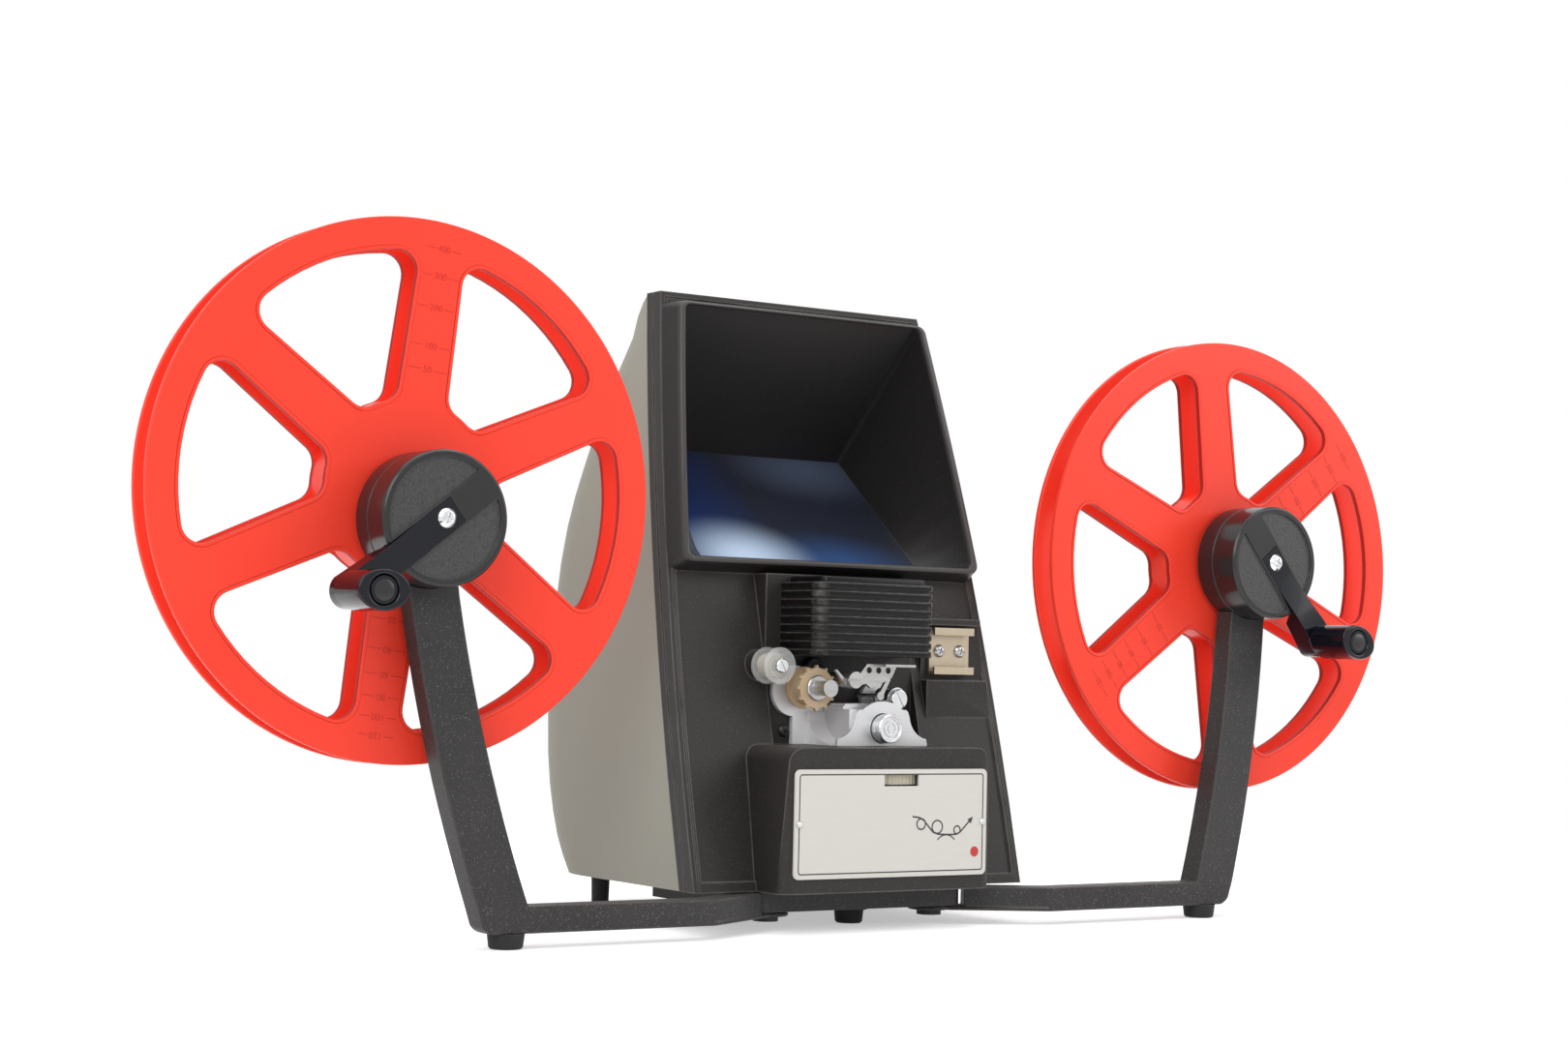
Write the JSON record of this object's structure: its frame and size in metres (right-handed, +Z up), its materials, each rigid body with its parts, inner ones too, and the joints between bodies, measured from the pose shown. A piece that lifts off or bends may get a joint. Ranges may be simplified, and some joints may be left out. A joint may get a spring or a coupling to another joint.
{
  "type": "hand-cranked film viewer",
  "caption": "Hooded rear-projection film viewer with a hand-cranked reel on each swinging arm and a geared film gate.",
  "frame": {"origin": "middle of the footprint on the surface it stands on", "axes": "+X to the viewer's right, +Y to the back, +Z up"},
  "size_m": [0.5352, 0.177, 0.2364],
  "materials": {
    "dark_plastic": "finely textured dark moulding",
    "cover_plastic": "finely textured warm grey moulding",
    "black_plastic": "matt black moulding",
    "gloss_black": "polished black moulding",
    "reel_plastic": "satin orange-red moulding",
    "screen_plastic": "dark diffusing screen",
    "plate_metal": "pale painted sheet",
    "arm_metal": "dark grey stove enamel",
    "base_metal": "dark grey enamel",
    "rubber": "black rubber",
    "steel": "bright steel",
    "chrome": "polished",
    "aluminium": "satin",
    "zinc": "yellow zinc plating",
    "brass": "turned",
    "clear": "clear moulding",
    "amber": "translucent tan moulding",
    "ivory": "ivory knurled moulding",
    "glass": "polished",
    "mirror": "front-silvered",
    "lamp_metal": "black stove enamel"
  },
  "bodies": {
    "housing": {"base_block": "base_metal", "base_plate": "base_metal", "front_foot": "rubber", "rear_feet": "rubber", "pivot_bolts": "base_metal", "front_panel": "dark_plastic", "rear_cover": "cover_plastic", "hood": "black_plastic", "screen": "screen_plastic", "screen_frame": "black_plastic", "name_plate": "plate_metal", "plate_pins": "steel", "lens_sleeve": "black_plastic", "optics_bracket": "aluminium", "lower_mirror": "mirror", "rear_mirror": "mirror", "lamp_house": "lamp_metal", "lamp_bulb": "glass", "lamp_socket": "brass", "film_plate": "aluminium", "gate_block": "aluminium", "gate_bracket": "aluminium", "lever_pin": "steel", "roller_studs": "steel", "splice_holder": "zinc", "holder_screws": "chrome", "case_screws": "black_plastic", "cord_gland": "rubber"},
    "focus": {"focus_wheel": "ivory"},
    "lens": {"lens_barrel": "black_plastic"},
    "button": {"notch_button": "chrome"},
    "film_lever": {"pressure_lever": "steel"},
    "guide": {"guide_roller": "clear"},
    "sprocket_drive": {"sprocket": "amber", "sprocket_shaft": "steel"},
    "prism_drive": {"prism": "glass", "prism_shaft": "brass"},
    "exit": {"exit_roller": "steel"},
    "left_arm_body": {"left_arm": "arm_metal", "left_arm_foot": "rubber", "left_gear_case": "black_plastic"},
    "left_reel_body": {"left_spindle": "black_plastic", "left_reel_front": "reel_plastic", "left_reel_rear": "reel_plastic"},
    "left_crank_body": {"left_crank_drum": "black_plastic", "left_crank_lever": "gloss_black", "left_crank_screw": "chrome"},
    "left_knob_body": {"left_knob": "gloss_black"},
    "right_arm_body": {"right_arm": "arm_metal", "right_arm_foot": "rubber", "right_gear_case": "black_plastic"},
    "right_reel_body": {"right_spindle": "black_plastic", "right_reel_front": "reel_plastic", "right_reel_rear": "reel_plastic"},
    "right_crank_body": {"right_crank_drum": "black_plastic", "right_crank_lever": "gloss_black", "right_crank_screw": "chrome"},
    "right_knob_body": {"right_knob": "gloss_black"}
  },
  "joints": [
    {"name": "left_swing", "type": "hinge", "parent": "housing", "child": "left_arm_body", "pos_m": [-0.03266, -0.03675, 0.006], "axis": [0, 0, -1], "range_deg": [0, 40]},
    {"name": "left_reel_turn", "type": "hinge", "parent": "left_arm_body", "child": "left_reel_body", "pos_m": [-0.17865, -0.03775, 0.1474], "axis": [0, 1, 0], "continuous": true},
    {"name": "left_crank_turn", "type": "hinge", "parent": "left_arm_body", "child": "left_crank_body", "pos_m": [-0.17666, -0.05775, 0.1376], "axis": [0, 1, 0], "continuous": true},
    {"name": "left_knob_spin", "type": "hinge", "parent": "left_crank_body", "child": "left_knob_body", "pos_m": [-0.20739, -0.07775, 0.11359], "axis": [0, 1, 0], "continuous": true},
    {"name": "right_swing", "type": "hinge", "parent": "housing", "child": "right_arm_body", "pos_m": [0.03934, -0.03675, 0.006], "axis": [0, 0, 1], "range_deg": [0, 40]},
    {"name": "right_reel_turn", "type": "hinge", "parent": "right_arm_body", "child": "right_reel_body", "pos_m": [0.17865, -0.03775, 0.1366], "axis": [0, 1, 0], "continuous": true},
    {"name": "right_crank_turn", "type": "hinge", "parent": "right_arm_body", "child": "right_crank_body", "pos_m": [0.18334, -0.05775, 0.1376], "axis": [0, 1, 0], "continuous": true},
    {"name": "right_knob_spin", "type": "hinge", "parent": "right_crank_body", "child": "right_knob_body", "pos_m": [0.20768, -0.07775, 0.10712], "axis": [0, 1, 0], "continuous": true},
    {"name": "sprocket_turn", "type": "hinge", "parent": "housing", "child": "sprocket_drive", "pos_m": [-0.01548, -0.03775, 0.0854], "axis": [0, 1, 0], "continuous": true},
    {"name": "prism_turn", "type": "hinge", "parent": "housing", "child": "prism_drive", "pos_m": [0.00694, -0.03275, 0.07], "axis": [0, 1, 0], "continuous": true},
    {"name": "guide_roller_turn", "type": "hinge", "parent": "housing", "child": "guide", "pos_m": [-0.03056, -0.03475, 0.0931], "axis": [0, 1, 0], "continuous": true},
    {"name": "exit_roller_turn", "type": "hinge", "parent": "housing", "child": "exit", "pos_m": [0.01984, -0.03675, 0.0819], "axis": [0, 1, 0], "continuous": true},
    {"name": "film_lever_lift", "type": "hinge", "parent": "housing", "child": "film_lever", "pos_m": [-0.00416, -0.04275, 0.0886], "axis": [0, -1, 0], "range_deg": [0, 5]},
    {"name": "button_press", "type": "slide", "parent": "housing", "child": "button", "axis": [0, 1, 0], "range_m": [0, 0.003], "stiffness_N_per_m": 150},
    {"name": "focus_turn", "type": "hinge", "parent": "housing", "child": "focus", "pos_m": [0.00694, -0.03675, 0.0535], "axis": [0, 0, 1], "range_deg": [-120, 120]},
    {"name": "lens_slide", "type": "slide", "parent": "housing", "child": "lens", "axis": [0, 0, 1], "range_m": [-0.0016, 0.0016]}
  ],
  "couplings": [
    {"joint": "left_crank_turn", "follows": "left_reel_turn", "ratio": 0.375},
    {"joint": "right_crank_turn", "follows": "right_reel_turn", "ratio": 0.7},
    {"joint": "prism_turn", "follows": "sprocket_turn", "ratio": -3},
    {"joint": "lens_slide", "follows": "focus_turn", "m_per_rad": 0.00075}
  ]
}
